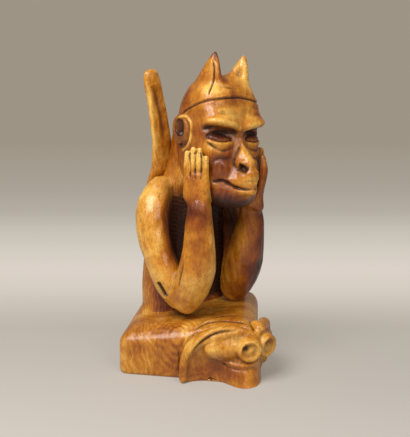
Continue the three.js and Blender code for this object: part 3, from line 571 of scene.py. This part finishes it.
# The heavy brow, the eyes in their sockets with an upper and a lower lid, and the cheeks.
dab(head, (-30, -79, 355), (17, 9, 5), 4.5, mirror=True)
dab(head, (-32, -74, 344.5), (17, 13, 7), -5.0, mirror=True)
dab(head, (-34, -69, 339.5), (12, 10, 5.5), 4.4, mirror=True)
# Painted shade darkens the grooves cut here and below: under the brow, round the lids and eyes, beside
# the nose, in the nostrils, mouth, brim and ear, and in the horn's split.
groove_shade = 0.7 * stroke(head, under_brow, 4.0, -3.8, 0.15, mirror=True)
# Painted highlight: pale lightens the brow's crest, the ridge under the lower lid and the ear's rim.
pale = 0.25 * stroke(head, brow, 4.5, 3.0, 0.15, mirror=True)
groove_shade += 0.95 * stroke(head, upper_lid, 1.9, -3.0, 0.05, mirror=True)
groove_shade += 0.85 * stroke(head, lower_lid, 1.5, -2.4, 0.05, mirror=True)
stroke(head, np.array(upper_lid) + [0, 0, 3.4], 1.7, 1.6, 0.15, mirror=True)
pale += 0.25 * stroke(head, np.array(lower_lid) + [0, 0, -3.6], 2.6, 2.0, 0.15, mirror=True)
groove_shade += 0.25 * stroke(head, under_eye, 2.6, -2.0, 0.3, mirror=True)
groove_shade += 0.25 * stroke(head, cheek, 3.4, -2.2, 0.3, mirror=True)
dab(head, (-30, -80, 297), (14, 12, 9), 1.8, mirror=True)
groove_shade += 0.4 * stroke(head, nose_side, 2.2, -2.4, 0.2, mirror=True)
# The nose with its two nostrils, and the parted mouth with its lower lip.
stroke(head, [(0, -99.1, 322), (0, -102, 310), (0, -105, 300)], 6.0, 1.2, 0.3)
dab(head, (0, -111, 296), (9, 8, 6), -2.0)
dab(head, (0, -102, 284), (20, 14, 8), 5.0)
dab(head, (-11, -96, 304), (5, 9, 5), 3.0, mirror=True)
groove_shade += 1.3 * stroke(head, nostril, 4.0, -8.5, 0.1, mirror=True)
groove_shade += 1.2 * stroke(head, mouth, 1.8, -3.8, 0.25, mirror=True)
stroke(head, np.array(mouth)[3:] + [0, 0, -5.0], 3.6, 1.4, 0.4, mirror=True)
dab(head, (0, -100, 254), (24, 20, 9), -6.0)
dab(head, (0, -100, 280), (22, 20, 9), 1.5)
# Two wrinkles with a ridge between them over the forehead, a short upright one, and the brim
# of the cap.
for height, low in ((-2.2, 372), (2.0, 377), (-2.2, 382)):
    wrinkle = [(-40, -76, low - 1), (-22, -84, low + 1.5), (0, -84, low)]
    stroke(head, wrinkle, 3.4, height, 0.3, mirror=True)
stroke(head, [(0, -88, 360), (-3, -87, 370), (-6, -84, 380)], 3.0, -1.6, 0.3)
brim = [(-57, -5, 371), (-53, -20.3, 377.1), (-52.5, -42.7, 384.3), (-48.6, -60, 388.9),
        (-35.7, -72.3, 391.5), (-16.7, -75.5, 393.6), (0, -76, 395)]
groove_shade += 0.4 * stroke(head, brim, 1.5, -1.8, 0.0, mirror=True)
stroke(head, np.array(brim) + [0, 0, 3.5], 2.0, 0.9, 0.0, mirror=True)
# Each ear is a raised rim round a hollow with one fold in it.
ear = [(-60.4, -6.3, 363.4), (-59.3, -16.9, 368.7), (-53.8, -26.1, 368.5), (-53.9, -36.5, 357),
       (-53.9, -32.9, 334.8), (-53.9, -21.2, 323.6), (-52.5, -9.8, 322.1)]
dab(head, (-58, -16, 350), (8, 9, 13), -8.0, mirror=True)
pale += 0.4 * stroke(head, ear, 2.6, 2.2, 0.1, mirror=True)
ear_fold = [(-57, -10, 352), (-56, -15, 345), (-56, -14, 337), (-55, -18, 331)]
stroke(head, ear_fold, 2.2, 2.4, 0.2, mirror=True)
ear_notch = [(-57, -20, 336), (-56, -15, 329), (-55, -9, 331)]
groove_shade += 0.5 * stroke(head, ear_notch, 1.8, -2.0, 0.2, mirror=True)
# The split and the chipped tip of the nearer horn, and the grooves between the horns.
split = [(-31.5, -56.4, 447), (-32.6, -60, 434.4), (-33, -60.5, 426.2), (-34, -60.6, 418.1),
         (-39.2, -61.5, 408.2), (-44.6, -62.7, 397)]
groove_shade += 0.9 * stroke(head, split, 1.3, -3.2, 0.15)
stroke(head, np.array(split)[:4] + [5, -2, 0], 3.0, 1.6, 0.3)
groove_shade += 0.3 * stroke(head, [(4, -50, 424), (0, -62, 410), (-4, -72, 397)], 3.5, -2.2, 0.25)
groove_shade += 0.3 * stroke(head, [(-40, -66, 412), (-24, -72, 410), (-6, -72, 406)], 2.0, -1.8, 0.3)
dab(head, (-30, -63, 449), (2.5, 4, 5), -3.0)
dab(head, (10, -50, 438), (8, 14, 12), 5.0)
dab(head, (-8, -46, 430), (8, 16, 8), -5.0)
spots = points_of(head)
IRIS_RADIUS = 3.6       # mm; each iris is a shallow ring cut into the eye
for eye in ((-31.1, -72.1, 340.8), (31.1, -72.1, 340.8)):
    middle = spots[np.argmin(((spots - eye) ** 2).sum(1))]
    apart = np.sqrt((((spots - middle) / [1, 1.5, 1]) ** 2).sum(1))
    iris = bell(apart, IRIS_RADIUS, 0.9)
    swell(head, -0.6 * iris)
    groove_shade += 0.5 * iris
rub_down(head, HEAD_GRAIN, 0.7, free)
# Flats left by the gouge: on the cap, on the forehead and on the cheeks.
x, y, z = points_of(head).T
facets(head, (z > 398) & (z < 440), 40, (5, 5, 7), 0.7, 3)
facets(head, (z > 366) & (z < 386) & (y < -60), 12, (7, 7, 4), 0.6, 4)
facets(head, (z > 250) & (z < 320) & (y < -40) & (np.abs(x) > 14), 24, (6, 6, 6), 0.5, 5)
spots = points_of(head)
# Among these tones, painted highlights lighten the near forehead, the pad under the near eye and the
# cap's near facet; painted shade darkens the chin, both eyes and the near horn's right flank.
tones = painted(spots, 0.48, [
    ((-24, -82, 372), (34, 24, 16), 1.0), ((20, -84, 366), (20, 20, 18), 0.70),
    ((0, -98, 314), (13, 26, 26), 0.84), ((-2, -106, 278), (24, 18, 12), 0.94),
    ((-34, -76, 302), (18, 22, 18), 0.44), ((-36, -70, 262), (26, 30, 16), 0.40),
    ((-30, -66, 246), (44, 50, 14), -0.10), ((-42, -68, 327), (18, 20, 9), 0.92),
    ((-34, -64, 408), (24, 24, 12), 1.0), ((22, -88, 300), (14, 20, 30), 0.70),
    ((0, -102, 262), (18, 14, 7), 0.94), ((32, -58, 412), (30, 40, 20), 0.97),
    ((0, 44, 320), (70, 36, 50), 0.56), ((27, -56, 440), (22, 20, 26), 0.97),
    ((-30, -57, 436), (20, 18, 18), 0.86), ((-30, -57, 456), (10, 12, 7), 0.25),
    ((-21, -58, 432), (8, 14, 16), 0.15), ((-34, -70, 341), (15, 12, 5), 0.08),
    ((34, -70, 341), (15, 12, 5), 0.08)])
# Painted shade in the eye sockets under the brow, inside the near ear, in both nostrils and under the
# jaw.
shade = painted(spots, 0.0, [
    ((-31, -77, 348), (19, 12, 4.5), 0.75), ((31, -77, 348), (19, 12, 4.5), 0.75),
    ((-56, -15, 347), (9, 11, 17), 0.85), ((-10.5, -98, 297), (7.5, 9, 4.5), 0.75),
    ((10.5, -98, 297), (7.5, 9, 4.5), 0.75), ((0, -62, 238), (54, 54, 14), 0.65)])
dress(head, HEAD_NODES, tones + pale, HEAD_GRAIN, rings=0.15, merged=["trunk"],
      recess=shade + groove_shade)

# The arms: bent tight, elbow on the ledge and hand on the cheek, sanded smooth over the muscle.
# The four fingers are parted by grooves.
ARM_GRAIN = 1.0
for side, outer, inner_side_shade, low in (("right", 0.94, 0.10, 0.78), ("left", 0.66, 0.24, 0.08)):
    way = 1 if side == "right" else -1
    nodes = [side + "_upper_arm", side + "_forearm"]
    arm, free = carved(side + "_arm_carving", nodes, ARM_GRAIN, 2.0, join=1.0)
    spots = points_of(arm)
    muscle = np.clip((266 - spots[:, 2]) / 16 + rise(spots[:, 1], -20, 16), 0, 1)
    rub_down(arm, ARM_GRAIN, 4.5, free * muscle)
    dab(arm, flipped((-84, -36, 96), way), (16, 12, 9), 3.0)
    ease(arm, ["ledge_block"], 12.0)
    dab(arm, flipped((-96, -30, 200), way), (12, 30, 40), 1.5)
    if side == "left":      # its wrist is bent back a little and lies closer to the jaw
        spots = points_of(arm)
        bent = bell(spots[:, 2], 250, 22) * rise(spots[:, 1], -30, -10)
        move_points(arm, spots + np.array((-4.5, 3.5, 0)) * bent[:, None])
        dab(arm, (58, -66, 292), (14, 14, 18), 3.5)
    # Painted shade darkens the finger grooves, round the nails, the elbow's fold and the knot's slot.
    groove_shade = 0.0
    for gap in ([(-66.5, -49.0, 320), (-69.4, -52.9, 301.8), (-70.3, -53, 284)],
                [(-62.0, -56.0, 324), (-62.9, -57, 305.9), (-66.9, -60.8, 282)],
                [(-58.2, -64.5, 319), (-59, -65.2, 300.5), (-62, -67.8, 281)]):
        groove_shade = groove_shade + 0.45 * stroke(arm, flipped(gap, way), 1.3, -1.8, 0.1)
    NAIL_RADIUS = 3.2       # mm; the lower half of a shallow ring marks each finger nail
    for nail in ((-67.5, -48.3, 317.5), (-64, -56.2, 321.5), (-61.2, -63.7, 321), (-56.4, -71.8, 311)):
        spots = points_of(arm)
        apart = np.sqrt((((spots - flipped(nail, way)) / [1, 1, 1.3]) ** 2).sum(1))
        bed = bell(apart, NAIL_RADIUS, 0.8) * rise(spots[:, 2], nail[2] + 2, -2)
        swell(arm, -0.5 * bed)
        groove_shade += 0.2 * bed
    fold = [(-81.3, -51.8, 172), (-82.2, -48.2, 155.9), (-81.7, -42.8, 143.5), (-81.2, -39.7, 128)]
    groove_shade += 0.25 * stroke(arm, flipped(fold, way), 3.0, -2.6, 0.3)
    if side == "right":     # a knot has left a deep slot at the elbow, and a small hole higher up
        slot = [(-92.9, -4.4, 132), (-90.6, -8.6, 125.6), (-87.6, -11.6, 118.3), (-84.4, -14.5, 110)]
        groove_shade += 2.0 * stroke(arm, slot, 3.4, -6.0, 0.15)
        dab(arm, (-102, 26, 189), (1.6, 1.6, 1.6), -1.5)
    facets(arm, points_of(arm)[:, 2] < 245, 40, (8, 8, 13), 0.6, 6)
    # Painted shade darkens the inner side of each upper arm, and on the far arm its lower forearm.
    tones = painted(points_of(arm), outer, [
        ((-62 * way, -6, 200), (20, 36, 60), inner_side_shade),
        ((-66 * way, -66, 194), (18, 20, 56), 0.42 * outer),
        ((-72 * way, -58, 238), (24, 24, 20), 0.20 * outer),
        ((-70 * way, -52, 135), (30, 26, 50), low),
        ((-66 * way, -60, 278), (20, 24, 20), 0.52 * outer),
        ((-84 * way, -24, 104), (18, 26, 18), 0.62 * outer)])
    # Painted shade in the armpit.
    armpit_shade = painted(points_of(arm), 0.0, [((-58 * way, 6, 215), (9, 26, 70), 0.7)])
    dress(arm, nodes, tones, ARM_GRAIN,
          merged=["trunk"], rings=0.2, recess=groove_shade + armpit_shade)

# The wings: two long folded blades standing up off the back, hollowed along the middle and
# rounded over at their edges.
WING_GRAIN = 1.0
hollow = [(-67.9, 37.7, 417), (-58.9, 38.2, 395.8), (-51.3, 39.1, 374.1), (-46.8, 40.6, 352),
          (-47.3, 42.9, 329.5)]
edge = [(-78.1, 40.7, 423.8), (-71.9, 39.9, 402.5), (-67.2, 42.2, 373.7), (-62, 45.1, 344.4),
        (-57.2, 47.3, 322)]
for side in ("right", "left"):
    way = 1 if side == "right" else -1
    wing, free = carved(side + "_wing_carving", [side + "_wing"], WING_GRAIN, 3.0)
    tip = rise(points_of(wing)[:, 2], 395, 30)
    rub_down(wing, WING_GRAIN, 6.0, free * tip)
    swell(wing, 3.0 * tip)
    hollow_shade = stroke(wing, flipped(hollow, way), 6.0, -4.5, 0.3)
    rim = stroke(wing, flipped(edge, way), 3.5, 2.4, 0.2)
    # Painted shade darkens the hollow along the middle, and a painted highlight lightens the raised edge.
    tones = painted(points_of(wing), 0.80, []) - 0.22 * hollow_shade + 0.30 * rim
    dress(wing, [side + "_wing"], tones, WING_GRAIN,
          merged=["trunk"], rings=0.3, recess=0.2 * hollow_shade)

# The studio: a pale paper sweep, flat under the object and curving up behind it. Near the object
# it is matt and takes the light and shadow; further back the camera sees it glow with painted light,
# brightest a little way behind the object and darker up the curve.
sweep_profile = [(-4.0, 0.0), (1.1, 0.0), (1.4, 0.03), (1.65, 0.14), (1.82, 0.34), (1.9, 0.6),
                 (1.9, 3.0)]         # metres away from the camera's side, and metres up
SWEEP_HALF_WIDTH = 4.0  # m
sweep_mesh = bpy.data.meshes.new("paper_sweep")
facing = np.array([math.sin(TURN), math.cos(TURN), 0])
across = np.array([facing[1], -facing[0], 0])
rows = [facing * d + np.array([0, 0, h]) + across * s
        for d, h in sweep_profile for s in (-SWEEP_HALF_WIDTH, SWEEP_HALF_WIDTH)]
sweep_mesh.from_pydata([tuple(r) for r in rows], [],
                       [(2 * i, 2 * i + 1, 2 * i + 3, 2 * i + 2) for i in range(len(sweep_profile) - 1)])
sweep = bpy.data.objects.new("paper_sweep", sweep_mesh)
bpy.context.scene.collection.objects.link(sweep)
paper = bpy.data.materials.new("pale_paper")
paper.use_nodes = True
tree = paper.node_tree
tree.nodes.clear()
where = node(tree, "ShaderNodeTexCoord").outputs["Object"]
height = node(tree, "ShaderNodeSeparateXYZ", Vector=where).outputs["Z"]
distance = node(tree, "ShaderNodeVectorMath", {"operation": "DOT_PRODUCT"}, i0=where,
                i1=tuple(facing)).outputs["Value"]
far = node(tree, "ShaderNodeMapRange", {"interpolation_type": "SMOOTHSTEP"}, Value=distance,
           **{"From Min": -0.35, "From Max": 0.45}).outputs[0]
back = reckon(tree, "DIVIDE", reckon(tree, "ADD", distance, height), 2.5)
shown = ramped(tree, back, [
    (0.06, "#BEB6AA"), (0.115, "#CBC2B7"), (0.18, "#D5CCC2"), (0.27, "#DBD1C8"), (0.39, "#D3CCC1"),
    (0.55, "#C4BDB2"), (0.63, "#B4ACA1"), (0.72, "#AAA296"), (0.80, "#A39B8D"), (0.87, "#9E9486")])
glow = node(tree, "ShaderNodeEmission", Color=shown, Strength=1.0)
matt = node(tree, "ShaderNodeBsdfDiffuse", Color=linear("#BEBBB8"))
seen = node(tree, "ShaderNodeLightPath").outputs["Is Camera Ray"]
amount = reckon(tree, "MULTIPLY", far, seen)
both = node(tree, "ShaderNodeMixShader", i0=amount, i1=matt.outputs[0], i2=glow.outputs[0])
node(tree, "ShaderNodeOutputMaterial", Surface=both.outputs[0])
sweep.data.materials.append(paper)

# Soft, slightly warm light: a large lamp high on the figure's right, a much weaker one high in
# front of it, and a plain pale sky.
for name, spot, size, watts in (("key", (-1.30, -0.40, 1.60), 1.1, 42.0),
                                ("fill", (-0.25, -1.5, 1.15), 0.9, 9.0)):
    lamp_data = bpy.data.lights.new(name, "AREA")
    lamp_data.size, lamp_data.energy, lamp_data.color = size, watts, (1.0, 0.955, 0.89)
    lamp = bpy.data.objects.new(name, lamp_data)
    lamp.location = spot
    lamp.rotation_euler = (Vector(spot) - Vector((0, 0, 0.22))).to_track_quat("Z", "Y").to_euler()
    bpy.context.scene.collection.objects.link(lamp)
world = bpy.data.worlds.new("sky")
bpy.context.scene.world = world
world.use_nodes = True
world.node_tree.nodes["Background"].inputs["Color"].default_value = (1.0, 0.94, 0.86, 1)
world.node_tree.nodes["Background"].inputs["Strength"].default_value = 0.27
bpy.context.scene.view_settings.view_transform = "Standard"
